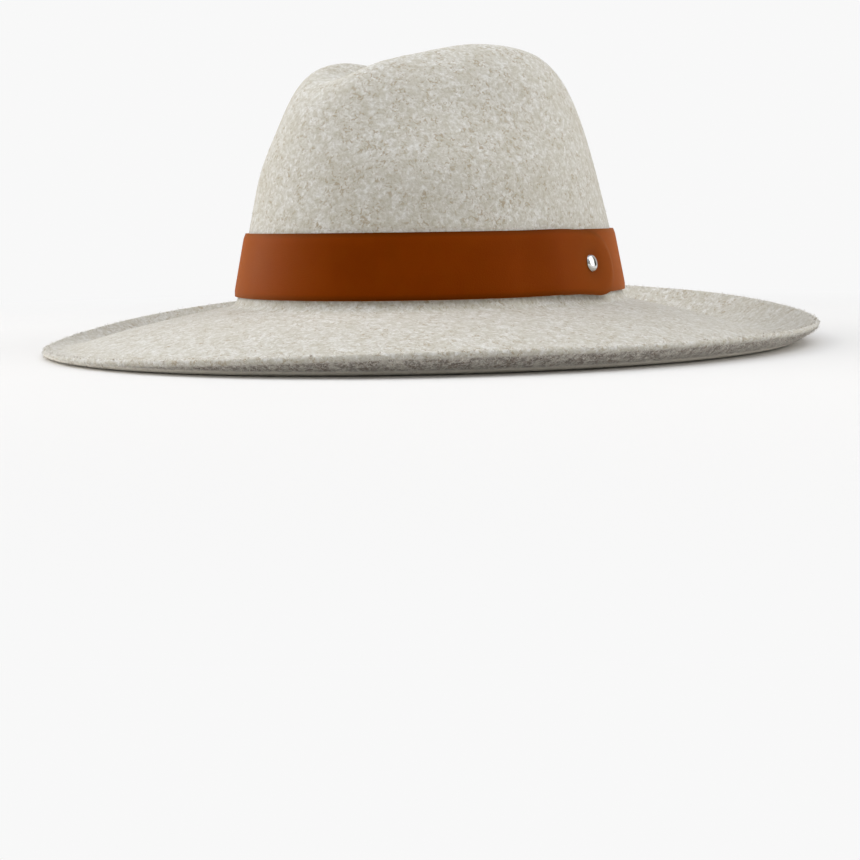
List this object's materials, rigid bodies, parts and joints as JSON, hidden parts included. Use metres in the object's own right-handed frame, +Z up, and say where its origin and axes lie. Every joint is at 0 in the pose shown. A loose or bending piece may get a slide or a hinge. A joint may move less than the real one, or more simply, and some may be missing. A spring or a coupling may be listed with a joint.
{
  "type": "felt fedora hat",
  "caption": "Felt fedora with a teardrop crown, pinched front, wide brim turned up at the rim, and a leather band that overlaps under a rivet.",
  "frame": {"origin": "the middle of the brim's outline, on the surface the brim rests on", "axes": "+Z up; the front of the hat faces -Y, and +X is the wearer's left, where the rivet is"},
  "size_m": [0.3636, 0.3954, 0.1444],
  "materials": {
    "felt": "heathered oatmeal wool felt with short surface fibres",
    "leather": "smooth tan leather with a soft sheen",
    "nickel": "polished nickel"
  },
  "bodies": {
    "root": {"felt_body": "felt", "leather_band": "leather", "rivet": "nickel"}
  },
  "joints": []
}
